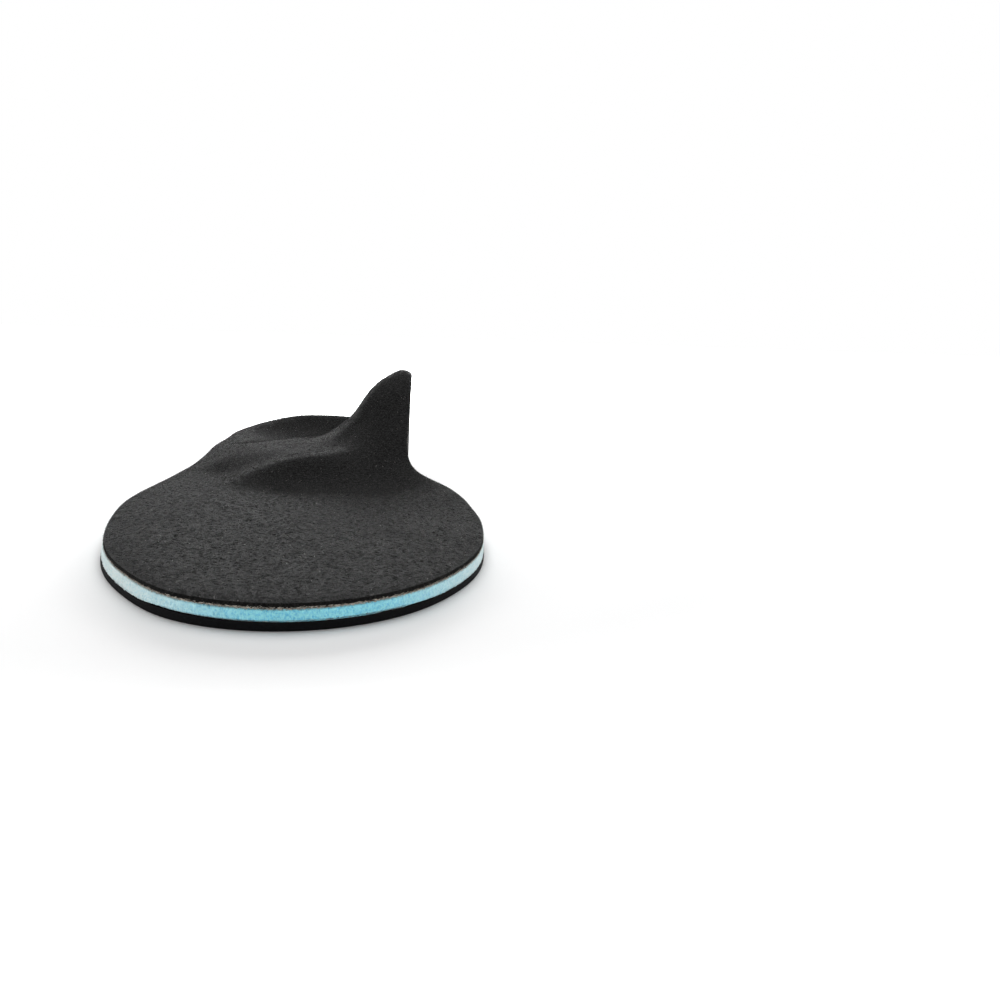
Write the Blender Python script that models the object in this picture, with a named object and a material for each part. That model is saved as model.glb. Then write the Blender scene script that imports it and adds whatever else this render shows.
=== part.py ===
"""Full-length orthopedic insole for the right foot, in metres, +Z up.

It is a bonded laminate of three layers: a brushed cloth cover, a sheet of foam and a moulded
base. The toe points to -Y, the heel to +Y and the arch side of the foot to +X. The underside is
flat and lies at Z = 0, with the origin at half the length, on the middle line of the heel.
Every layer is shaped from the same upper surface, so the layers nest with one even gap.
"""
from collections import namedtuple

import bmesh
import bpy
import numpy as np
from mathutils import Vector

# Plan sizes
LENGTH = 0.265
FOREFOOT_WIDTH = 0.0933
HEEL_WIDTH = 0.067
TIP_OFFSET = 0.0047

# Thicknesses, measured square to the surface of the flat forefoot
COVER_THICKNESS = 0.0010
FOAM_THICKNESS = 0.0021
BASE_THICKNESS = 0.0016
BOND_GAP = 0.0003

# Rises of the upper surface above the flat forefoot
PAD_RISE = 0.0098
ARCH_RISE = 0.0334
CUP_RISE = 0.0096

# The side walls: the wing of the arch leans out at its top, the sole stands out at the floor,
# and the upper edge rolls over, most of all on the wing
WING_LEAN = 0.0014
SOLE_DRAFT = 0.0004
WING_ROLL = 0.0022
EDGE_ROLL = 0.0003

SOLE_HEIGHT = BASE_THICKNESS + FOAM_THICKNESS + COVER_THICKNESS + 2 * BOND_GAP

# The outline from above. Each row is a section across the foot: how far it lies along the
# length from the toe, the width that it follows, and how far the outline stands out to each
# side of the middle line, as a share of that width.
Outline = namedtuple("Outline", "along width lateral medial")
OUTLINE = [
    Outline(0.03, FOREFOOT_WIDTH, 0.176, 0.258),
    Outline(0.08, FOREFOOT_WIDTH, 0.285, 0.371),
    Outline(0.15, FOREFOOT_WIDTH, 0.380, 0.457),
    Outline(0.22, FOREFOOT_WIDTH, 0.435, 0.496),
    Outline(0.30, FOREFOOT_WIDTH, 0.470, 0.512),
    Outline(0.38, FOREFOOT_WIDTH, 0.485, 0.495),
    Outline(0.42, FOREFOOT_WIDTH, 0.480, 0.473),
    Outline(0.46, FOREFOOT_WIDTH, 0.469, 0.426),
    Outline(0.50, FOREFOOT_WIDTH, 0.454, 0.346),
    Outline(0.55, FOREFOOT_WIDTH, 0.437, 0.340),
    Outline(0.64, HEEL_WIDTH, 0.558, 0.492),
    Outline(0.73, HEEL_WIDTH, 0.522, 0.488),
    Outline(0.82, HEEL_WIDTH, 0.500, 0.498),
    Outline(0.90, HEEL_WIDTH, 0.463, 0.468),
    Outline(0.96, HEEL_WIDTH, 0.313, 0.328),
]

# The height of the rim. "cup" is the share of CUP_RISE that both sides have, and "arch" the
# share of ARCH_RISE that the medial side has on top of it.
Rim = namedtuple("Rim", "along cup arch")
RIM = [
    Rim(0.00, 0.00, 0.00),
    Rim(0.32, 0.00, 0.00),
    Rim(0.38, 0.00, 0.03),
    Rim(0.42, 0.00, 0.05),
    Rim(0.46, 0.00, 0.08),
    Rim(0.49, 0.01, 0.16),
    Rim(0.53, 0.02, 0.45),
    Rim(0.57, 0.05, 0.82),
    Rim(0.60, 0.08, 0.98),
    Rim(0.62, 0.12, 1.00),
    Rim(0.66, 0.24, 0.93),
    Rim(0.73, 0.45, 0.70),
    Rim(0.82, 0.48, 0.36),
    Rim(0.90, 0.56, 0.14),
    Rim(0.96, 0.80, 0.03),
    Rim(1.00, 1.00, 0.00),
]

# The form between the rims. "crown" is the height of the middle line as a share of PAD_RISE:
# the pad behind the ball of the foot, the saddle under the arch and the floor of the heel cup.
# The other columns say how much of the way from the crown to the rim the surface has climbed
# or dropped at one third and at two thirds of the way out, on each side.
Form = namedtuple("Form", "along crown lateral_third lateral_two_thirds medial_third medial_two_thirds")
FORM = [
    Form(0.00, 0.00, 0.33, 0.67, 0.05, 0.25),
    Form(0.43, 0.00, 0.33, 0.67, 0.05, 0.25),
    Form(0.46, 0.12, 0.45, 0.95, 0.10, 0.35),
    Form(0.49, 0.60, 0.44, 0.96, 0.10, 0.45),
    Form(0.52, 0.97, 0.36, 0.94, 0.06, 0.45),
    Form(0.55, 0.98, 0.12, 0.78, 0.12, 0.56),
    Form(0.60, 0.93, -0.04, 0.30, 0.25, 0.80),
    Form(0.65, 0.90, -0.04, 0.22, 0.25, 0.80),
    Form(0.70, 0.72, 0.05, 0.30, 0.16, 0.60),
    Form(0.75, 0.42, 0.15, 0.50, 0.10, 0.50),
    Form(0.80, 0.20, 0.10, 0.45, 0.06, 0.42),
    Form(0.86, 0.10, 0.05, 0.38, 0.05, 0.38),
    Form(1.00, 0.08, 0.05, 0.38, 0.05, 0.38),
]

# The surface is laid out on rays that run from a middle line to the outline. The middle line
# stops short of both ends, so that the rays fan out round the toe and the heel.
RAYS = 50
MIDDLE_START = 0.13
MIDDLE_END = 0.87
RING_SHARES = [0.0, 0.14, 0.28, 0.42, 0.55, 0.67, 0.78, 0.87, 0.935, 0.98, 1.0]

# The rolled edge starts at this share of a ray, and the wall's lean fades in by this power
ROLL_START = 0.87
WALL_FADE = 3

# Points per side on the curve that the rays' ends are picked from
SAMPLES = 400

# Layers are spaced square to the surface, down to this upward part of its normal
STEEPEST = 0.35
SMOOTH_ANGLE = 0.7

LATERAL = -1
MEDIAL = 1

Finish = namedtuple("Finish", "colour roughness metallic")
COVER_FINISH = Finish((0.045, 0.045, 0.046), 0.95, 0.0)
FOAM_FINISH = Finish((0.30, 0.62, 0.78), 0.90, 0.0)
BASE_FINISH = Finish((0.012, 0.012, 0.014), 0.70, 0.0)


def clear_scene():
    for item in list(bpy.data.objects):
        bpy.data.objects.remove(item, do_unlink=True)


def eased(places, values, at):
    """Smooth curve through a table's column that never swings past its values."""
    places = np.asarray(places)
    values = np.asarray(values)
    steps = np.diff(places)
    rises = np.diff(values) / steps
    slopes = np.zeros(len(places))
    turning = rises[:-1] * rises[1:] <= 0
    total = np.where(turning, 1.0, rises[:-1] + rises[1:])
    slopes[1:-1] = np.where(turning, 0.0, 2 * rises[:-1] * rises[1:] / total)
    at = np.clip(at, places[0], places[-1])
    left = np.clip(np.searchsorted(places, at, side="right") - 1, 0, len(steps) - 1)
    return hermite(values, slopes, steps, left, at - places[left])


def hermite(values, slopes, steps, left, offset):
    """Cubic piece between two neighbours, from their values and slopes."""
    step = steps[left]
    part = offset / step
    end = (left + 1) % len(values)
    start_weight = (1 + 2 * part) * (1 - part) ** 2
    end_weight = part ** 2 * (3 - 2 * part)
    start_pull = part * (1 - part) ** 2 * step
    end_pull = part ** 2 * (part - 1) * step
    return (values[left] * start_weight + values[end] * end_weight
            + slopes[left] * start_pull + slopes[end] * end_pull)


def column(rows, name, at):
    return eased([row.along for row in rows], [getattr(row, name) for row in rows], at)


def closed_curve(points):
    """Slopes and steps of one round, evenly bending curve through all the points."""
    steps = np.linalg.norm(np.roll(points, -1, axis=0) - points, axis=1)
    before = np.roll(steps, 1)
    count = len(points)
    matrix = np.zeros((count, count))
    for index in range(count):
        matrix[index, index - 1] = 1 / before[index]
        matrix[index, index] = 2 / before[index] + 2 / steps[index]
        matrix[index, (index + 1) % count] = 1 / steps[index]
    ahead = (np.roll(points, -1, axis=0) - points) / steps[:, None] ** 2
    behind = (points - np.roll(points, 1, axis=0)) / before[:, None] ** 2
    return np.linalg.solve(matrix, 3 * (ahead + behind)), steps


def outline_sides():
    """Many points down each side of the outline, from the toe to the end of the heel."""
    medial = [(row.width * row.medial, row.along * LENGTH) for row in OUTLINE]
    lateral = [(-row.width * row.lateral, row.along * LENGTH) for row in OUTLINE]
    points = np.array([(TIP_OFFSET, 0.0)] + medial + [(0.0, LENGTH)] + lateral[::-1])
    slopes, steps = closed_curve(points)
    heel = len(OUTLINE) + 1
    sides = {}
    for side, first, last in ((MEDIAL, 0, heel), (LATERAL, heel, len(points))):
        place = np.linspace(first, last, SAMPLES)
        left = np.minimum(place.astype(int), last - 1)
        offset = (place - left) * steps[left]
        curve = np.stack([hermite(points[:, axis], slopes[:, axis], steps, left, offset)
                          for axis in (0, 1)], axis=1)
        sides[side] = curve if side == MEDIAL else curve[::-1]
    return sides


def rim_rise(side, along):
    """Height of the rim above the flat forefoot."""
    arch = column(RIM, "arch", along) * ARCH_RISE
    return column(RIM, "cup", along) * CUP_RISE + (arch if side == MEDIAL else 0.0)


def ray_ends(side, curve):
    """Where the rays meet the outline: evenly spaced along the rim, steep parts included."""
    heights = rim_rise(side, curve[:, 1] / LENGTH)
    rim = np.column_stack([curve, heights])
    walked = np.concatenate([[0.0], np.cumsum(np.linalg.norm(np.diff(rim, axis=0), axis=1))])
    wanted = np.linspace(0.0, walked[-1], RAYS + 1)
    return np.stack([np.interp(wanted, walked, curve[:, axis]) for axis in (0, 1)], axis=1)


def surface_rise(side, along, share, rim):
    """Height above the flat forefoot at a share of the way from the middle line to the rim."""
    crown = column(FORM, "crown", along) * PAD_RISE
    name = "medial" if side == MEDIAL else "lateral"
    third = column(FORM, name + "_third", along)
    two_thirds = column(FORM, name + "_two_thirds", along)
    climbed = eased([-1 / 3, 0.0, 1 / 3, 2 / 3, 1.0], [third, 0.0, third, two_thirds, 1.0], share)
    roll = EDGE_ROLL + WING_ROLL * rim / (ARCH_RISE + CUP_RISE)
    over = max(0.0, (share - ROLL_START) / (1.0 - ROLL_START))
    return crown + (rim - crown) * climbed - roll * over ** 2


def wall_offset(height):
    """How far the side wall stands outside the outline at a height above the floor."""
    draft = SOLE_DRAFT * max(0.0, 1 - height / SOLE_HEIGHT)
    return draft + WING_LEAN * max(0.0, height - SOLE_HEIGHT) / ARCH_RISE


def surface_sheet():
    """The upper surface as a mesh sheet, with the way out to the rim kept at each point."""
    sides = outline_sides()
    ends = {side: ray_ends(side, curve) for side, curve in sides.items()}
    sheet = bmesh.new()
    outward = sheet.verts.layers.float_vector.new("outward")
    grid = []
    for ray in range(RAYS + 1):
        middle_along = (ends[MEDIAL][ray][1] + ends[LATERAL][ray][1]) / 2 / LENGTH
        middle_y = (MIDDLE_START + (MIDDLE_END - MIDDLE_START) * middle_along) * LENGTH
        middle = np.array([TIP_OFFSET * (1 - middle_along), middle_y])
        line = {}
        for side in (MEDIAL, LATERAL):
            end = ends[side][ray]
            way_out = Vector((*(end - middle), 0.0)).normalized()
            rim = rim_rise(side, end[1] / LENGTH)
            for ring, share in enumerate(RING_SHARES):
                shared = ring == 0 or ray in (0, RAYS)
                if shared and side == LATERAL:
                    line[side * ring] = line[ring]
                    continue
                place = middle + (end - middle) * share
                rise = surface_rise(side, place[1] / LENGTH, share, rim)
                vert = sheet.verts.new((place[0], place[1] - LENGTH / 2, SOLE_HEIGHT + rise))
                vert[outward] = way_out * share ** WALL_FADE
                line[side * ring] = vert
        grid.append(line)
    last = len(RING_SHARES) - 1
    for near, far in zip(grid[:-1], grid[1:]):
        for ring in range(-last, last):
            corners = [near[ring], near[ring + 1], far[ring + 1], far[ring]]
            sheet.faces.new(corners)
    sheet.normal_update()
    return sheet


def layer(name, finish, depth, thickness):
    """One layer of the laminate: its top lies at a depth under the surface. A layer without a
    thickness is the base, which fills the space down to the flat underside."""
    body = surface_sheet()
    lower = body.verts.layers.float.new("lower")
    for vert in body.verts:
        slant = 1 / max(vert.normal.z, STEEPEST)
        surface = vert.co.z
        vert.co.z = surface - depth * slant
        vert[lower] = 0.0 if thickness is None else surface - (depth + thickness) * slant
    made = bmesh.ops.extrude_face_region(body, geom=body.faces[:])["geom"]
    for item in made:
        if isinstance(item, bmesh.types.BMVert):
            item.co.z = item[lower]
    if thickness is None:
        under = [face for face in body.faces if all(vert.co.z == 0.0 for vert in face.verts)]
        bmesh.ops.dissolve_faces(body, faces=under, use_verts=False)
    outward = body.verts.layers.float_vector["outward"]
    for vert in body.verts:
        vert.co += vert[outward] * wall_offset(vert.co.z)
    body.verts.layers.float_vector.remove(outward)
    body.verts.layers.float.remove(body.verts.layers.float["lower"])
    bmesh.ops.recalc_face_normals(body, faces=body.faces[:])
    return finished(name, body, finish)


def finished(name, body, finish):
    mesh = bpy.data.meshes.new(name)
    body.to_mesh(mesh)
    body.free()
    mesh.shade_smooth()
    mesh.set_sharp_from_angle(angle=SMOOTH_ANGLE)
    material = bpy.data.materials.new(name)
    material.use_nodes = True
    shader = material.node_tree.nodes["Principled BSDF"]
    shader.inputs["Base Color"].default_value = (*finish.colour, 1.0)
    shader.inputs["Roughness"].default_value = finish.roughness
    shader.inputs["Metallic"].default_value = finish.metallic
    mesh.materials.append(material)
    piece = bpy.data.objects.new(name, mesh)
    bpy.context.scene.collection.objects.link(piece)
    return piece


def main():
    clear_scene()
    foam_depth = COVER_THICKNESS + BOND_GAP
    base_depth = foam_depth + FOAM_THICKNESS + BOND_GAP
    layer("top_cover", COVER_FINISH, 0.0, COVER_THICKNESS)
    layer("foam_layer", FOAM_FINISH, foam_depth, FOAM_THICKNESS)
    layer("base_shell", BASE_FINISH, base_depth, None)


main()
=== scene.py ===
# %% [markdown]
# # A full-length orthopedic insole, cloth over foam over a moulded base
# The insole is a bonded laminate: a thin black brushed cloth, a sheet of light blue foam and a
# black moulded base, cut together along one outline. The packed frame already holds the three
# layers at their real size, as coarse faceted solids. This script dresses them: each layer
# gets a smooth copy with its own edge, and a material worked out from noise.

# %% Load the packed frame
import math
import random

import bmesh
import bpy
from mathutils import Matrix, Vector, noise


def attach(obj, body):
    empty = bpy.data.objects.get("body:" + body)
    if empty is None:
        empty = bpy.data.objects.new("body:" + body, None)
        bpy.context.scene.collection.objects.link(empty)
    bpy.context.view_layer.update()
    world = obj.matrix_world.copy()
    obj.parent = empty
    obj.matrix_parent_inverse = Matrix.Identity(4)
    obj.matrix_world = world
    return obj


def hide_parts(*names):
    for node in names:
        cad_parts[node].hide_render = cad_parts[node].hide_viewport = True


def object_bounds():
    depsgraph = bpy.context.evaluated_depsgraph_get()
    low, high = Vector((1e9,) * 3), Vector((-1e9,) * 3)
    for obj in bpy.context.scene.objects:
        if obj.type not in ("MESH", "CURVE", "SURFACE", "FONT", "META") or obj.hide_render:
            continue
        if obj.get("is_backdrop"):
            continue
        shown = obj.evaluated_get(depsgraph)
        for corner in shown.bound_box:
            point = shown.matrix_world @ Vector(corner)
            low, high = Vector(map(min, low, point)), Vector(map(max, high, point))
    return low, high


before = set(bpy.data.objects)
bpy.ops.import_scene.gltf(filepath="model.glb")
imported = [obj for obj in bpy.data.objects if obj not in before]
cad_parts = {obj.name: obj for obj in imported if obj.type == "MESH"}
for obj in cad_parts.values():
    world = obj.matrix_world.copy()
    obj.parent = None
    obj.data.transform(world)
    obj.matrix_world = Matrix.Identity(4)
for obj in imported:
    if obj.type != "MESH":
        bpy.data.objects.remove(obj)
cad_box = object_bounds()

MM = 0.001
SEED = 11
DRAWS = random.Random(SEED)
print("nodes:", sorted(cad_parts))

# %% [markdown]
# ## Sums written as sums
# A material's nodes are hard to read as a list. Here a socket is wrapped in a small class with
# the operators that the materials use, so that a mask can be written as 1 - noise * 2. Every
# other node comes from one method, which takes its type, its settings and its inputs.

# %% A socket that can be added and multiplied
class Wire:
    """An output socket. Arithmetic on it adds the Math nodes that work it out."""

    def __init__(self, finish, socket):
        self.finish = finish
        self.socket = socket

    def math(self, operation, *others):
        values = dict(enumerate((self, *others)))
        return self.finish.node("ShaderNodeMath", {"operation": operation}, values)

    def __add__(self, other):
        return self.math("ADD", other)

    def __sub__(self, other):
        return self.math("SUBTRACT", other)

    def __rsub__(self, other):
        return (self * -1) + other

    def __mul__(self, other):
        return self.math("MULTIPLY", other)

    __radd__ = __add__
    __rmul__ = __mul__

    def below(self, level):
        return self.math("LESS_THAN", level)


class Finish:
    """A material on one Principled shader, with the few node patterns that are shared."""

    def __init__(self, name, **constants):
        self.material = bpy.data.materials.new(name)
        self.material.use_nodes = True
        self.tree = self.material.node_tree
        self.shader = self.tree.nodes["Principled BSDF"]
        for label, value in constants.items():
            self.shader.inputs[label.replace("_", " ")].default_value = value
        self.place = self.node("ShaderNodeTexCoord", {}, {}, "Object")

    def node(self, kind, settings, inputs, output=0):
        node = self.tree.nodes.new(kind)
        for label, value in settings.items():
            setattr(node, label, value)
        for label, value in inputs.items():
            self.feed(node.inputs[label], value)
        return Wire(self, node.outputs[output])

    def feed(self, socket, value):
        if isinstance(value, Wire):
            self.tree.links.new(value.socket, socket)
        else:
            socket.default_value = value

    def surface(self, label, value):
        self.feed(self.shader.inputs[label], value)

    def stretched(self, x, y, z):
        """Object coordinates counted in grains of x, y and z metres."""
        scale = (1 / x, 1 / y, 1 / z)
        return self.node("ShaderNodeMapping", {}, {"Vector": self.place, "Scale": scale}, "Vector")

    def grain(self, place, detail, roughness):
        inputs = {"Vector": place, "Scale": 1.0, "Detail": detail, "Roughness": roughness}
        return self.node("ShaderNodeTexNoise", {}, inputs, "Fac")

    def cells(self, place):
        return self.node("ShaderNodeTexVoronoi", {}, {"Vector": place, "Scale": 1.0}, "Distance")

    def ramp(self, value, low, high, start=0.0, end=1.0):
        settings = {"interpolation_type": "SMOOTHSTEP"}
        inputs = {"Value": value, "From Min": low, "From Max": high, "To Min": start, "To Max": end}
        return self.node("ShaderNodeMapRange", settings, inputs, "Result")

    def blend(self, share, first, second):
        settings = {"data_type": "RGBA", "clamp_factor": True}
        inputs = {0: share, 6: (*first, 1) if isinstance(first, tuple) else first,
                  7: (*second, 1) if isinstance(second, tuple) else second}
        return self.node("ShaderNodeMix", settings, inputs, 2)

    def relief(self, height, depth, strength=1.0):
        inputs = {"Height": height, "Distance": depth, "Strength": strength}
        self.surface("Normal", self.node("ShaderNodeBump", {}, inputs, "Normal"))

    def two_tone(self, size, dark, light, detail=2.0, roughness=0.6, low=0.35, high=0.7):
        """Colour the surface by a grain, from dark where it is low to light, and return it."""
        grain = self.grain(self.stretched(*size), detail, roughness)
        self.surface("Base Color", self.blend(self.ramp(grain, low, high), dark, light))
        return grain


print("patterns of a finish:", [name for name in vars(Finish) if name[0] != "_"])

# %% [markdown]
# ## Smooth copies of the three layers
# The frame's layers are made of small flat triangles, which is right for a solid that is
# measured and dropped, and wrong for a thing that is looked at. A copy is merged and its
# triangles are put back into four-sided faces, which a Subdivision Surface can round evenly.
# The wall of a layer is told from its upper and lower sheet by the way its faces point.

# %% Copy a node as four-sided faces
SHEET, WALL = 0, 1
UPRIGHT = 0.25
WELD = 0.01 * MM


def quads(node):
    """A node's mesh in four-sided faces, its wall marked by the material number."""
    mesh = bmesh.new()
    mesh.from_mesh(bpy.data.objects[node].data)
    bmesh.ops.remove_doubles(mesh, verts=mesh.verts, dist=WELD)
    for face in mesh.faces:
        face.material_index = WALL if abs(face.normal.z) < UPRIGHT else SHEET
    bmesh.ops.join_triangles(mesh, faces=mesh.faces[:], cmp_materials=True,
                             angle_face_threshold=math.pi, angle_shape_threshold=math.pi)
    return mesh


def rims(mesh):
    """The two closed rings of edges where the wall meets the upper and the lower sheet."""
    return [edge for edge in mesh.edges
            if len({face.material_index for face in edge.link_faces}) == 2]


def piece(name, mesh):
    """A bmesh as a finished object at the origin, with smooth faces."""
    data = bpy.data.meshes.new(name)
    mesh.to_mesh(data)
    mesh.free()
    data.shade_smooth()
    item = bpy.data.objects.new(name, data)
    bpy.context.collection.objects.link(item)
    return item


def surface_of(item):
    """The object's mesh with its modifiers worked out."""
    graph = bpy.context.evaluated_depsgraph_get()
    return bpy.data.meshes.new_from_object(item.evaluated_get(graph))


print("a wall face's normal has |z| below", UPRIGHT)


# %% [markdown]
# ## The relief of the pad and the saddle
# The pad behind the ball of the foot has a low crest on its toe side, a shallow dip behind it and
# a ridge where the saddle falls into the heel cup. It probably comes from a mould that the three
# layers are pressed in together. The solid has one even rise there, so a table
# says how far the laminate is moved up or down at each place, in millimetres. A row's number is
# its distance from the middle of the insole towards the heel, and ACROSS holds the distances
# from the middle line towards the arch. The rim and the flat underside stay where they are.

# %% The relief of the pad and the saddle
ACROSS = [-36, -30, -22, -15, -8, 0, 8, 16, 24]
LIFTS = {
    -17.2: [0, 0, 0, 0, 0, 0, 0, 0, 0],
    -13.2: [0, 0.1, 0.3, 0.4, 0.5, 0.5, 0.4, 0.1, 0],
    -8.7: [0, 0, 0.4, 1.3, 1.5, 1.4, 1.0, 0.3, 0],
    -4.5: [0, -0.1, 0.2, 1.3, 2.4, 2.5, 2.0, 0.6, 0],
    0.0: [0, -0.2, -0.2, 0.5, 1.2, 1.0, 1.1, 0.4, 0],
    5.3: [0, -0.4, -0.5, -1.0, -1.0, -1.3, -0.6, 0, 0],
    13.2: [0, -0.7, -1.2, -2.2, -2.2, -2.1, -1.2, -0.2, 0],
    26.5: [0, -1.3, -2.5, -2.1, -1.5, -0.3, 0, 0, 0],
    42.4: [0, -0.8, -1.3, -1.2, -0.5, 0.3, 1.0, 0.4, 0],
    53.0: [0, -0.2, -0.5, -0.3, 0.2, 0.9, 0.9, 0.3, 0],
    66.2: [0, 0, -0.2, -0.4, -0.3, 0, 0, 0, 0],
    78.0: [0, 0, -0.6, -1.1, -1.2, -1.1, -0.7, -0.2, 0],
    96.0: [0, 0, -0.4, -0.9, -1.0, -0.9, -0.6, 0, 0],
    110.0: [0, 0, 0, -0.3, -0.4, -0.3, 0, 0, 0],
    122.0: [0, 0, 0, 0, 0, 0, 0, 0, 0],
}
UNDERSIDE = 0.5 * MM


def interval(places, at):
    """The place before a value and how far the value is on the way to the next one."""
    left = sum(place <= at for place in places[1:-1])
    return left, min(max((at - places[left]) / (places[left + 1] - places[left]), 0.0), 1.0)


def lift_at(place):
    """How far the laminate is moved up at a place, in metres."""
    column, across = interval(ACROSS, place.x / MM)
    row, along = interval(list(LIFTS), place.y / MM)
    near, far = list(LIFTS.values())[row:row + 2]
    ends = [line[column] * (1 - across) + line[column + 1] * across for line in (near, far)]
    return (ends[0] * (1 - along) + ends[1] * along) * MM


lifts = [lift for line in LIFTS.values() for lift in line]
print("moved in mm, most down and most up:", min(lifts), max(lifts))

# %% [markdown]
# ## Rounding without shrinking
# Subdivision pulls a mesh inwards, so each corner is first moved out by as much as the modifier
# would pull it in, in a few rounds. The cap on each move keeps a corner from passing its
# neighbour. Each call prints the largest height by which the rounded layer missed the corners
# that it should pass through, as its last round began.

# %% Round a copy without shrinking it
LEVELS = 2
ROUNDS = 4
FREE_SHARE = 0.2


def rounded(node):
    """A node's smooth copy as a bmesh, with the relief, its rims kept as sharp lines."""
    mesh = quads(node)
    for corner in mesh.verts:
        if corner.co.z > UNDERSIDE:
            corner.co.z += lift_at(corner.co)
    crease = mesh.edges.layers.float.new("crease_edge")
    for edge in rims(mesh):
        edge[crease] = 1.0
    draft = piece("draft", mesh)
    rounding = draft.modifiers.new("rounding", "SUBSURF")
    rounding.levels = rounding.render_levels = LEVELS
    wanted = [corner.co.copy() for corner in draft.data.vertices]
    room = [math.inf] * len(wanted)
    creases = draft.data.attributes["crease_edge"].data
    on_rim = {corner for edge, sharp in zip(draft.data.edges, creases)
              if sharp.value for corner in edge.vertices}
    for edge in draft.data.edges:
        length = (wanted[edge.vertices[0]] - wanted[edge.vertices[1]]).length
        for corner in edge.vertices:
            room[corner] = min(room[corner], length if corner in on_rim else length * FREE_SHARE)
    for _ in range(ROUNDS):
        now = surface_of(draft)
        misses = [goal - now.vertices[index].co for index, goal in enumerate(wanted)]
        for index, miss in enumerate(misses):
            moved = draft.data.vertices[index].co + miss - wanted[index]
            moved.length = min(moved.length, room[index])
            draft.data.vertices[index].co = wanted[index] + moved
        bpy.data.meshes.remove(now)
        draft.data.update()
    highest = max(abs(miss.z) for miss in misses)
    print(node, "largest miss in height in mm:", round(highest / MM, 3))
    fine = bmesh.new()
    fine.from_mesh(surface_of(draft))
    bpy.data.objects.remove(draft, do_unlink=True)
    return fine


print("each four-sided face becomes", 4 ** LEVELS)

# %% [markdown]
# ## The cloth cover
# This is a thin brushed cloth, made a millimetre thick here, and bonded over the whole foot bed.
# It is cut with the foam, so its edge is square, only softened by its nap. It is held
# everywhere, so a cloth simulation would leave it where it is.

# %% The cover's shape
EDGE_SOFTNESS = 0.14 * MM
EDGE_STEPS = 2


def soften(mesh, width):
    """Take off the two sharp rims by a bevel of that width."""
    bmesh.ops.bevel(mesh, geom=rims(mesh), offset=width, segments=EDGE_STEPS, profile=0.5,
                    affect="EDGES", material=-1, clamp_overlap=True)


mesh = rounded("top_cover")
lower_rim = [(edge.verts[0].co.copy(), edge.verts[1].co.copy(), wall.normal.copy())
             for edge in rims(mesh)
             for sheet, wall in [sorted(edge.link_faces, key=lambda face: face.material_index)]
             if sheet.normal.z < 0]
soften(mesh, EDGE_SOFTNESS)
cover = piece("cover_cloth", mesh)
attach(cover, "root")
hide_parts("top_cover")
print("cover faces:", len(cover.data.polygons))

# %% [markdown]
# Under its nap the cloth is dark and dull, with hardly any gloss. Its short fibres lie across the
# foot, so the grain is stretched that way, and light flecks of lint sit in it. The cut edge has
# a finish of its own, because there the ends of the threads show.

# %% The cover's finish
CLOTH_DARK = (0.006, 0.006, 0.006)
CLOTH_LIGHT = (0.038, 0.038, 0.038)
LINT = (0.30, 0.29, 0.28)
STREAK_SIZE = (0.8 * MM, 0.42 * MM, 0.3 * MM)
FUZZ_SIZE = (0.3 * MM, 0.35 * MM, 0.2 * MM)
CLOUD_SIZE = (18 * MM, 12 * MM, 12 * MM)
FLECK_SIZE = (1.5 * MM, 1.2 * MM, 1.2 * MM)
FLECK_REACH = 0.06
FLECK_STRENGTH = 0.7
STREAK_SHARE, FUZZ_SHARE, CLOUD_SHARE = 0.55, 0.35, 0.10
STREAK_HEIGHT, FUZZ_HEIGHT = 0.6, 0.4
NAP_DEPTH = 0.13 * MM
CUT_DARK = (0.002, 0.002, 0.002)
CUT_LIGHT = (0.018, 0.017, 0.016)
THREAD_SIZE = (0.25 * MM, 0.25 * MM, 0.5 * MM)
THREAD_DEPTH = 0.15 * MM

cloth = Finish("cloth", Specular_IOR_Level=0.05)
streaks = cloth.grain(cloth.stretched(*STREAK_SIZE), 3.0, 0.6)
fuzz = cloth.grain(cloth.stretched(*FUZZ_SIZE), 2.0, 0.6)
clouds = cloth.grain(cloth.stretched(*CLOUD_SIZE), 2.0, 0.5)
nap = streaks * STREAK_SHARE + fuzz * FUZZ_SHARE + clouds * CLOUD_SHARE
flecks = cloth.cells(cloth.stretched(*FLECK_SIZE)).below(FLECK_REACH)
shade = cloth.blend(cloth.ramp(nap, low=0.36, high=0.66), CLOTH_DARK, CLOTH_LIGHT)
cloth.surface("Base Color", cloth.blend(flecks * FLECK_STRENGTH, shade, LINT))
cloth.surface("Roughness", cloth.ramp(nap, low=0.3, high=0.7, start=0.95, end=0.8))
cloth.relief(streaks * STREAK_HEIGHT + fuzz * FUZZ_HEIGHT, NAP_DEPTH)
cover.data.materials.append(cloth.material)

cut = Finish("cut_cloth", Roughness=0.95, Specular_IOR_Level=0.05)
threads = cut.two_tone(THREAD_SIZE, CUT_DARK, CUT_LIGHT, detail=3.0)
cut.relief(threads, THREAD_DEPTH)
cover.data.materials.append(cut.material)
print("cover materials:", [slot.name for slot in cover.data.materials])

# %% [markdown]
# ## The nap
# Brushing pulls short ends out of the cloth. Along a crest the eye looks through more of them at
# once, so a crest looks pale, and the cloth is nearly black where it faces the eye. A material
# stays flat there, so the nap is made of flat strips: a point is scattered for each, extruded
# into an edge and the edge into a face. The points carry both moves with them as layers, which
# the extruded corners inherit. The operator lists the new faces in a chance order, so they are
# sorted at the end, and the mesh is the same each time.

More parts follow.
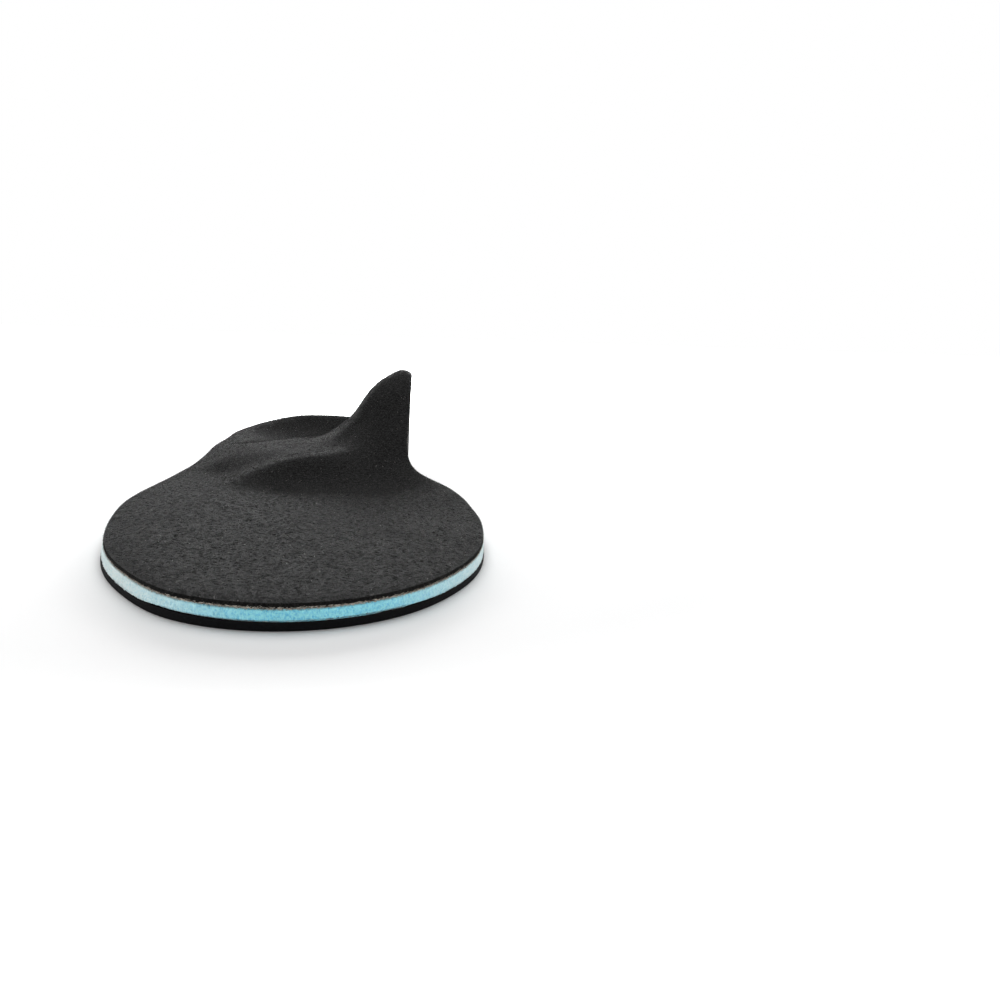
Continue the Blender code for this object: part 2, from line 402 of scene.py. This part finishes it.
# %% Strips from scattered points
def strips(name, points):
    """One mesh of flat fibres, each from its root, the way it runs and the way it is wide."""
    mesh = bmesh.new()
    runs = mesh.verts.layers.float_vector.new("run")
    widths = mesh.verts.layers.float_vector.new("width")
    for root, run, width in points:
        corner = mesh.verts.new(root)
        corner[runs], corner[widths] = run, width
    for corner in bmesh.ops.extrude_vert_indiv(mesh, verts=mesh.verts[:])["verts"]:
        corner.co += corner[runs]
    for part in bmesh.ops.extrude_edge_only(mesh, edges=mesh.edges[:])["geom"]:
        if isinstance(part, bmesh.types.BMVert):
            part.co += part[widths]
    mesh.verts.index_update()
    mesh.faces.sort(key=lambda face: min(corner.index for corner in face.verts))
    print(name, "fibres:", len(mesh.faces))
    return piece(name, mesh)


def scatter(item, per_mm2, wanted):
    """Even random points on the faces that are wanted: the place and the way it faces."""
    for face in item.data.polygons:
        if not wanted(face):
            continue
        first, *others = [item.data.vertices[index].co for index in face.vertices]
        for second, third in zip(others, others[1:]):
            count = (second - first).cross(third - first).length / 2 / MM ** 2 * per_mm2
            for _ in range(int(count + DRAWS.random())):
                u, v = DRAWS.random(), DRAWS.random()
                if u + v > 1:
                    u, v = 1 - u, 1 - v
                yield first + (second - first) * u + (third - first) * v, face.normal.copy()


cover_area = sum(face.area for face in cover.data.polygons)
print("the cover's whole surface in square mm:", round(cover_area / MM ** 2))

# %% [markdown]
# Most of the ends lie down again, across the foot, and give the cloth its grain. Near the left
# and the right edge they all head inwards, so the outline stays clean.

# %% The nap that lies down
LYING_PER_MM2 = 3.2
LYING_LENGTH = (0.35 * MM, 1.1 * MM)
LYING_WIDTH = (0.04 * MM, 0.09 * MM)
LYING_LIFT = (0.02, 0.2)
LYING_TILT = 0.9
LYING_ROOT = 0.02 * MM
LYING_DARK = (0.008, 0.008, 0.008)
LYING_LIGHT = (0.025, 0.025, 0.025)
LYING_GRAIN = (0.9 * MM, 0.5 * MM, 0.5 * MM)
SPREAD = 0.45
FACES_UP = 0.1
EDGE_ZONE = 24 * MM


def on_top(face):
    """Whether a face belongs to the cover's upper sheet."""
    return face.normal.z > FACES_UP and face.material_index == SHEET


def across_foot(place, normal):
    """The way a fibre lies: across the foot, and away from the edge where that is near."""
    side = Vector((0, 1, 0)).cross(normal).normalized()
    sign = -math.copysign(1, place.x) if abs(place.x) > EDGE_ZONE else DRAWS.choice((-1, 1))
    return Matrix.Rotation(DRAWS.gauss(0, SPREAD), 3, normal) @ side * sign


def lying_fibres(item):
    """Ends that lie nearly flat, each turned a little about its own length."""
    for place, normal in scatter(item, LYING_PER_MM2, on_top):
        heading = across_foot(place, normal)
        run = (heading + normal * DRAWS.uniform(*LYING_LIFT)) * DRAWS.uniform(*LYING_LENGTH)
        tilt = Matrix.Rotation(DRAWS.uniform(-LYING_TILT, LYING_TILT), 3, heading)
        width = tilt @ normal.cross(heading) * DRAWS.uniform(*LYING_WIDTH)
        yield place + normal * LYING_ROOT, run, width


lying = strips("nap_lying", lying_fibres(cover))
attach(lying, "root")

fibre = Finish("lying_fibre", Roughness=0.7, Specular_IOR_Level=0.1)
fibre.two_tone(LYING_GRAIN, LYING_DARK, LYING_LIGHT)
lying.data.materials.append(fibre.material)

# %% [markdown]
# The finest ends stay up. They are thin and far apart, so they hardly show from above, and they
# add up where the eye grazes the cloth.

# %% The nap that stands up
UPRIGHT_PER_MM2 = 4.6
UPRIGHT_LENGTH = (0.14 * MM, 0.42 * MM)
UPRIGHT_WIDTH = (0.022 * MM, 0.042 * MM)
UPRIGHT_LEAN = 0.5
STANDING_DARK = (0.04, 0.04, 0.04)
STANDING_LIGHT = (0.155, 0.154, 0.152)
STANDING_GRAIN = (0.6 * MM, 0.5 * MM, 0.5 * MM)


def standing_fibres(item):
    """Ends that stand up from the cloth and lean over by chance."""
    for place, normal in scatter(item, UPRIGHT_PER_MM2, on_top):
        heading = across_foot(place, normal)
        run = (normal + heading * abs(DRAWS.gauss(0, UPRIGHT_LEAN))).normalized()
        width = Vector([DRAWS.gauss(0, 1) for _ in range(3)]).cross(run).normalized()
        yield place, run * DRAWS.uniform(*UPRIGHT_LENGTH), width * DRAWS.uniform(*UPRIGHT_WIDTH)


standing = strips("nap_standing", standing_fibres(cover))
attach(standing, "root")

tuft = Finish("standing_fibre", Roughness=0.7, Specular_IOR_Level=0.12)
tuft.two_tone(STANDING_GRAIN, STANDING_DARK, STANDING_LIGHT)
standing.data.materials.append(tuft.material)

# %% [markdown]
# A black cloth shows every loose fibre that settles on it. They lie in any direction, and the
# same strips serve for them, a few for each square centimetre.

# %% Lint
LINT_PER_MM2 = 0.04
LINT_LENGTH = (0.15 * MM, 0.6 * MM)
LINT_WIDTH = 0.05 * MM
LINT_ROOT = 0.08 * MM
LINT_RISE = (0, 0.5)
LINT_GRAIN = (2 * MM, 2 * MM, 2 * MM)
LINT_DARK = (0.20, 0.17, 0.15)
LINT_LIGHT = (0.45, 0.44, 0.43)


def lint_fibres(item):
    """Loose pale fibres that rest on the nap."""
    for place, normal in scatter(item, LINT_PER_MM2, on_top):
        heading = Vector([DRAWS.gauss(0, 1) for _ in range(3)])
        heading = (heading - normal * heading.dot(normal)).normalized()
        run = (heading + normal * DRAWS.uniform(*LINT_RISE)) * DRAWS.uniform(*LINT_LENGTH)
        yield place + normal * LINT_ROOT, run, normal.cross(heading) * LINT_WIDTH


lint_piece = strips("cloth_lint", lint_fibres(cover))
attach(lint_piece, "root")

speck = Finish("lint", Roughness=0.8, Specular_IOR_Level=0.2)
speck.two_tone(LINT_GRAIN, LINT_DARK, LINT_LIGHT, detail=1.0, roughness=0.5, high=0.65)
lint_piece.data.materials.append(speck.material)

# %% [markdown]
# A knife leaves short dark ends sticking out of the cut. They are scattered on the cover's wall
# alone, and break up the clean line of its edge.

# %% The frayed edge
FRAY_PER_MM2 = 8
FRAY_LENGTH = (0.15 * MM, 0.4 * MM)
FRAY_WIDTH = 0.05 * MM
FRAY_ALONG = 0.8
FRAY_OUT = (0.1, 0.6)
FRAY_DOWN = (-0.3, 0.9)
FRAY_GRAIN = (0.5 * MM, 0.5 * MM, 0.3 * MM)
FRAY_DARK = (0.004, 0.004, 0.004)
FRAY_LIGHT = (0.05, 0.045, 0.04)


def cut_face(face):
    """Whether a face belongs to the cut edge."""
    return face.material_index == WALL


def fray_fibres(item):
    """Dark ends that stick out of the cut edge."""
    for place, normal in scatter(item, FRAY_PER_MM2, cut_face):
        along = Vector((-normal.y, normal.x, 0)).normalized()
        heading = (along * DRAWS.gauss(0, FRAY_ALONG) + normal * DRAWS.uniform(*FRAY_OUT)
                   - Vector((0, 0, DRAWS.uniform(*FRAY_DOWN)))).normalized()
        yield place, heading * DRAWS.uniform(*FRAY_LENGTH), heading.cross(normal) * FRAY_WIDTH


fray = strips("cloth_fray", fray_fibres(cover))
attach(fray, "root")

ends = Finish("frayed_ends", Roughness=0.8, Specular_IOR_Level=0.2)
ends.two_tone(FRAY_GRAIN, FRAY_DARK, FRAY_LIGHT, low=0.4, high=0.65)
fray.data.materials.append(ends.material)

# %% [markdown]
# The side of the cloth that is glued to the foam looks undyed: a thin beige line shows between
# the black edge and the blue one. Pale ends are laid along the cover's lower rim for it.

# %% The backing's fluff
FLUFF_PER_MM = 14
FLUFF_LENGTH = (0.2 * MM, 0.6 * MM)
FLUFF_WIDTH = 0.05 * MM
FLUFF_BAND = (-0.12 * MM, 0.30 * MM)
FLUFF_TILT = 0.35
FLUFF_OUT = (0, 0.25)
FLUFF_ROOT = 0.03 * MM
BACKING_GRAIN = (1.5 * MM, 1.5 * MM, 0.4 * MM)
BACKING_DARK = (0.25, 0.24, 0.21)
BACKING_LIGHT = (0.62, 0.57, 0.49)


def backing_fibres(segments):
    """Pale ends of the cloth's backing, along the line where it meets the foam."""
    for start, end, normal in segments:
        for _ in range(int((end - start).length / MM * FLUFF_PER_MM + DRAWS.random())):
            place = start.lerp(end, DRAWS.random()) + Vector((0, 0, DRAWS.uniform(*FLUFF_BAND)))
            heading = ((end - start).normalized() * DRAWS.choice((-1, 1))
                       + Vector((0, 0, DRAWS.gauss(0, FLUFF_TILT)))
                       + normal * DRAWS.uniform(*FLUFF_OUT))
            run = heading.normalized() * DRAWS.uniform(*FLUFF_LENGTH)
            width = heading.cross(normal).normalized() * FLUFF_WIDTH
            yield place + normal * FLUFF_ROOT, run, width


fluff = strips("backing_fluff", backing_fibres(lower_rim))
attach(fluff, "root")

backing = Finish("backing", Roughness=0.9, Specular_IOR_Level=0.2)
backing.two_tone(BACKING_GRAIN, BACKING_DARK, BACKING_LIGHT, detail=3.0, roughness=0.65,
                 low=0.38, high=0.62)
fluff.data.materials.append(backing.material)

# %% [markdown]
# ## How the walls stand
# The layers look as if they were trimmed after they were bonded. On the outer side the wall
# leans out a little towards the floor. One rule moves the foam and the base, so their walls
# stay in line.

# %% Lean a wall out
SOLE = 5.3 * MM
SPLAY = 0.5 * MM


def ramp(value, low, high):
    """0 below low and 1 above high, with a smooth rise between them."""
    share = min(max((value - low) / (high - low), 0.0), 1.0)
    return share * share * (3 - 2 * share)


def wall_normals(mesh):
    """Each wall corner with the way that the wall faces there."""
    mesh.normal_update()
    facing = {}
    for face in mesh.faces:
        if face.material_index == WALL:
            for corner in face.verts:
                facing[corner] = facing.get(corner, Vector()) + face.normal
    return {corner: total.normalized() for corner, total in facing.items()}


def splay(mesh):
    """Lean the wall of the outer side out towards the floor."""
    for corner, facing in wall_normals(mesh).items():
        share = max(0.0, -facing.x) * (1 - ramp(corner.co.z, 0, SOLE))
        corner.co += Vector((facing.x, facing.y, 0)) * SPLAY * share


print("the outer wall leans out by up to mm:", SPLAY / MM)

# %% [markdown]
# ## The foam sheet
# Open-cell foam shows its cells where the knife has cut through them. The band is only two
# millimetres high, so its wall is divided down to about a quarter of a millimetre, and each
# point of it can then be moved by itself.

# %% Divide the foam's wall
ALONG_CUTS = 7
DOWN_CUTS = 1
CLIMB_LIMIT = 0.5


def climbs(edge):
    """Whether a wall edge runs up the wall, and not along it."""
    run = (edge.verts[0].co - edge.verts[1].co).normalized()
    face = edge.link_faces[0].normal
    return abs(run.dot(Vector((-face.y, face.x, 0)).normalized())) < CLIMB_LIMIT


def wall_edges(mesh, upwards):
    """The wall's edges that run up it, or those that run along it."""
    return [edge for edge in mesh.edges
            if any(face.material_index == WALL for face in edge.link_faces)
            and climbs(edge) == upwards]


mesh = rounded("foam_layer")
bmesh.ops.subdivide_edges(mesh, edges=wall_edges(mesh, False), cuts=ALONG_CUTS,
                          use_grid_fill=True)
bmesh.ops.subdivide_edges(mesh, edges=wall_edges(mesh, True), cuts=DOWN_CUTS,
                          use_grid_fill=True)
splay(mesh)
lengths = [edge.calc_length() for edge in wall_edges(mesh, True)]
print("mean step up the wall in mm:", round(sum(lengths) / len(lengths) / MM, 2))

# %% [markdown]
# The solid leaves a thin gap for the glue on both sides of the foam. Here the foam's rims are
# moved out to close it, along a line that is a little ragged, and at the toe the seam to the
# base lies higher. The pits are real: a cell pattern moves each point of the wall inwards, and
# is kept as an attribute, so that the finish can paint shade into the pits. At the wing the foam
# stands back under the edge of the cloth.

# %% The foam's shape
CELL = Vector((0.42, 0.42, 0.5)) * MM
PIT_DEPTH = 0.20 * MM
PIT_FLOOR, PIT_BRIM = 0.15, 0.65
LUMP = 1.1 * MM
LUMP_HEIGHT = 0.10 * MM
RAGGED = 0.10 * MM
RAGGED_SIZE = 0.5 * MM
FOAM_GROWTH = 0.22 * MM
TOE_FRONT = (-0.126, -0.112)
TOE_LIFT = 0.35 * MM
FACES_DOWN = -0.1
WING_TUCK = 0.9 * MM
TUCK_FROM, TUCK_TO = 9 * MM, 22 * MM


def at_toe(corner):
    """1 at the very front of the toe, falling to 0 behind it."""
    return 1 - ramp(corner.co.y, *TOE_FRONT)


def rim_corners(mesh):
    """The corners of both rims, each one once."""
    return {corner for edge in rims(mesh) for corner in edge.verts}


pits = mesh.verts.layers.float.new("pit")
facings = wall_normals(mesh)
for corner in rim_corners(mesh):
    lower = any(face.normal.z < FACES_DOWN for face in corner.link_faces
                if face.material_index == SHEET)
    rise = -FOAM_GROWTH + (TOE_LIFT + FOAM_GROWTH) * at_toe(corner) if lower else FOAM_GROWTH
    corner.co.z += rise + RAGGED * noise.noise(corner.co / RAGGED_SIZE)
for corner, facing in facings.items():
    near, _ = noise.voronoi(Vector(a / b for a, b in zip(corner.co, CELL)))
    pit = 1 - ramp(near[0], PIT_FLOOR, PIT_BRIM)
    corner[pits] = pit
    tuck = WING_TUCK * ramp(corner.co.z, TUCK_FROM, TUCK_TO) * max(0.0, facing.x)
    lump = noise.noise(corner.co / LUMP) * LUMP_HEIGHT
    corner.co += facing * (lump - PIT_DEPTH * pit) - Vector((tuck, 0, 0))
print("foam wall corners:", len(facings))
foam = piece("foam_band", mesh)
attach(foam, "root")
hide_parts("foam_layer")
print("foam faces:", len(foam.data.polygons))

# %% [markdown]
# The foam is bluest near the middle of the toe and nearly white towards both sides, where the
# light falls on it. Some of that may be light and not dye, and one picture can't tell them apart.
# That light is painted into the colour here: it follows the distance from that place, so the foam
# is painted pale from the sides and from behind too. Pits and fine grain say how deep a point
# lies; deep points are darker, partly by painted shade in the pits and partly by the foam's own
# darker speckle.

# %% The foam's finish
# painted shade: the blue of the pores and the hollows of the grain, partly the foam's own darker
# speckle
FOAM_PORE_SHADE = (0.15, 0.61, 0.88)
FOAM_LIGHT = (0.38, 0.90, 0.99)
# painted light: the pale colours stand for light falling on the sides of the band, the second one
# also in painted pore shade
FOAM_PAINTED_SIDE_LIGHT = (0.90, 0.99, 0.98)
FOAM_PAINTED_SIDE_LIGHT_IN_SHADE = (0.60, 0.86, 0.90)
PALE_FROM, PALE_TO = 0.008, 0.042
BLUEST = 0.009
MOTTLE_SIZE = (0.35 * MM, 0.35 * MM, 0.35 * MM)
SPECK_SIZE = (0.22 * MM, 0.22 * MM, 0.3 * MM)
PIT_SHARE, MOTTLE_SHARE, SPECK_SHARE = 0.35, 0.9, 0.7
PORE_DEPTH = 0.12 * MM

sponge = Finish("sponge", Roughness=0.9, Specular_IOR_Level=0.2, Sheen_Weight=0.5,
                Sheen_Roughness=0.4)
pit = sponge.node("ShaderNodeAttribute", {"attribute_name": "pit"}, {}, "Fac")
mottle = sponge.grain(sponge.stretched(*MOTTLE_SIZE), 3.0, 0.65)
specks = sponge.grain(sponge.stretched(*SPECK_SIZE), 2.0, 0.6)
layers = pit * PIT_SHARE + mottle * MOTTLE_SHARE + specks * SPECK_SHARE
# painted shade: the deeper a point lies in the pits and grain, the more it takes the shaded colour,
# partly the foam's own darker speckle
depth = sponge.ramp(layers, low=0.6, high=1.35)
across = sponge.node("ShaderNodeSeparateXYZ", {}, {0: sponge.place}, "X")
# painted light: the colour turns pale away from the bluest place, in place of light falling on the
# sides
pale = sponge.ramp((across - BLUEST).math("ABSOLUTE"), PALE_FROM, PALE_TO)
lit = sponge.blend(pale, FOAM_LIGHT, FOAM_PAINTED_SIDE_LIGHT)
shaded = sponge.blend(pale, FOAM_PORE_SHADE, FOAM_PAINTED_SIDE_LIGHT_IN_SHADE)
sponge.surface("Base Color", sponge.blend(depth, lit, shaded))
sponge.relief(1 - depth, PORE_DEPTH, strength=0.8)
foam.data.materials.append(sponge.material)
print("foam material:", sponge.material.name)

# %% [markdown]
# ## The moulded base
# A dense black foam or rubber, pressed smooth. Its rims are slightly rounded and its underside
# is flat, where the insole lies in the shoe. At the toe its upper rim rises with the foam's.

# %% The base's shape
BASE_SOFTNESS = 0.12 * MM
UPPER_RIM = 1 * MM

mesh = rounded("base_shell")
splay(mesh)
for corner in rim_corners(mesh):
    if corner.co.z > UPPER_RIM:
        corner.co.z += TOE_LIFT * at_toe(corner)
soften(mesh, BASE_SOFTNESS)
base = piece("moulded_base", mesh)
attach(base, "root")
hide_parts("base_shell")
print("base faces:", len(base.data.polygons))

# %% [markdown]
# The base drinks nearly all the light. A fine speckle in colour, roughness and height keeps it
# from looking like painted plastic.

# %% The base's finish
RUBBER_DARK = (0.002, 0.002, 0.0024)
RUBBER_LIGHT = (0.005, 0.005, 0.006)
SPECKLE_SIZE = (0.25 * MM, 0.25 * MM, 0.25 * MM)
SPECKLE_DEPTH = 0.05 * MM

rubber = Finish("rubber", Specular_IOR_Level=0.08)
speckle = rubber.two_tone(SPECKLE_SIZE, RUBBER_DARK, RUBBER_LIGHT, detail=3.0)
rubber.surface("Roughness", rubber.ramp(speckle, low=0.3, high=0.7, start=0.8, end=0.65))
rubber.relief(speckle, SPECKLE_DEPTH, strength=0.5)
base.data.materials.append(rubber.material)
print("base material:", rubber.material.name)

# %% [markdown]
# ## The table
# The insole lies on a plain white ground, made here as paper. Close to it the paper only gives
# back the light that falls on it, so the shadow under the toe stays. Farther away it glows by
# itself, which keeps the rest of the picture white.

# %% The table
TABLE_SIZE = 6.0
TABLE_GAP = 0.05 * MM
PAPER_WHITE = (0.93, 0.93, 0.93, 1)
GLOW_FROM, GLOW_TO = 0.14, 0.30
BLACK, WHITE = (0, 0, 0), (1, 1, 1)

mesh = bmesh.new()
bmesh.ops.create_grid(mesh, x_segments=1, y_segments=1, size=TABLE_SIZE)
bmesh.ops.translate(mesh, verts=mesh.verts, vec=(0, 0, -TABLE_GAP))
table = piece("table", mesh)
paper = Finish("paper", Roughness=0.9, Base_Color=PAPER_WHITE, Specular_IOR_Level=0.1,
               Emission_Strength=1.5)
reach = paper.node("ShaderNodeVectorMath", {"operation": "LENGTH"}, {0: paper.place}, "Value")
glow = paper.ramp(reach, GLOW_FROM, GLOW_TO)
paper.surface("Emission Color", paper.blend(glow, BLACK, WHITE))
table.data.materials.append(paper.material)
table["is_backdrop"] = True
print("table is this wide in m:", table.dimensions.x)

# %% [markdown]
# ## The lamps
# A low lamp behind grazes the cloth from the far side, which makes the standing ends light up
# along the crests. A wide one above fills in, one low at each side lights the ends of the foam
# band, and one in front lights the toe. All of them point at the middle of the insole.

# %% The lamps
AIM = Vector((0, 0, 0))
LAMPS = {
    "lamp_behind": ((0.0, 0.75, 0.22), (0.7, 0.24), 10.0),
    "lamp_above": ((0.0, 0.4, 0.85), (0.8, 0.8), 6.4),
    "lamp_left": ((-1.1, -0.35, 0.16), (0.7, 0.25), 2.6),
    "lamp_right": ((1.1, -0.35, 0.16), (0.7, 0.25), 2.6),
    "lamp_front": ((0.0, -1.2, 0.22), (1.2, 0.3), 2.0),
}

for name, (place, sizes, watts) in LAMPS.items():
    light = bpy.data.lights.new(name, "AREA")
    light.shape = "RECTANGLE"
    light.size, light.size_y = sizes
    light.energy = watts
    item = bpy.data.objects.new(name, light)
    item.location = place
    item.rotation_euler = (AIM - Vector(place)).to_track_quat("-Z", "Y").to_euler()
    bpy.context.collection.objects.link(item)
    print(name, "watts:", watts)

# %% [markdown]
# ## The surround
# The camera sees a full white surround, while the insole is lit by a fainter one. A Light Path
# node tells the two kinds of ray apart.

# %% The surround
LIT = 0.24

world = bpy.data.worlds.new("surround")
world.use_nodes = True
nodes, links = world.node_tree.nodes, world.node_tree.links
dim, output = nodes["Background"], nodes["World Output"]
bright = nodes.new("ShaderNodeBackground")
seen = nodes.new("ShaderNodeLightPath")
mixed = nodes.new("ShaderNodeMixShader")
dim.inputs["Strength"].default_value = LIT
for background in (dim, bright):
    background.inputs["Color"].default_value = (*WHITE, 1)
links.new(seen.outputs["Is Camera Ray"], mixed.inputs["Fac"])
links.new(dim.outputs[0], mixed.inputs[1])
links.new(bright.outputs[0], mixed.inputs[2])
links.new(mixed.outputs[0], output.inputs["Surface"])
bpy.context.scene.world = world
print("surround lights with strength:", LIT)

# %% [markdown]
# ## The camera
# Its place, turn and lens were fitted to the outline in the photograph. It stands 30 cm from the
# middle of the insole, low over the toe. Its turn is put together from the three directions
# that are right, up and backwards for the camera.

# %% The camera
CAMERA_PLACE = (0.0165, -0.2958, 0.0526)
YAW, PITCH, ROLL = math.radians(8.63), math.radians(9.96), math.radians(1.94)
LENS = 34.13
SENSOR = 36.0
NEAREST = 0.01

ahead = Vector((math.sin(YAW) * math.cos(PITCH), math.cos(YAW) * math.cos(PITCH),
                -math.sin(PITCH)))
level = Vector((math.cos(YAW), -math.sin(YAW), 0))
upright = level.cross(ahead)
right = level * math.cos(ROLL) + upright * math.sin(ROLL)
up = upright * math.cos(ROLL) - level * math.sin(ROLL)
turn = Matrix((right, up, -ahead)).transposed().to_4x4()
eye = bpy.data.cameras.new("camera")
eye.sensor_fit, eye.sensor_width, eye.lens = "HORIZONTAL", SENSOR, LENS
eye.clip_start = NEAREST
camera = bpy.data.objects.new("camera", eye)
camera.matrix_world = Matrix.Translation(CAMERA_PLACE) @ turn
bpy.context.collection.objects.link(camera)
bpy.context.scene.camera = camera
bpy.context.scene.view_settings.view_transform = "Standard"
print("camera is this far from the middle in m:", round(Vector(CAMERA_PLACE).length, 3))

# %% [markdown]
# ## The sizes
# The cover is one sheet, glued down all over, with its fibres on it. The two boxes show how far
# the dressed part stands outside the solids.

# %% Print the two boxes
bpy.context.view_layer.update()
full_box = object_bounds()
for title, box in (("solids", cad_box), ("dressed", full_box)):
    print(title, "box in mm:", [[round(value / MM, 1) for value in corner] for corner in box])

# %% [markdown]
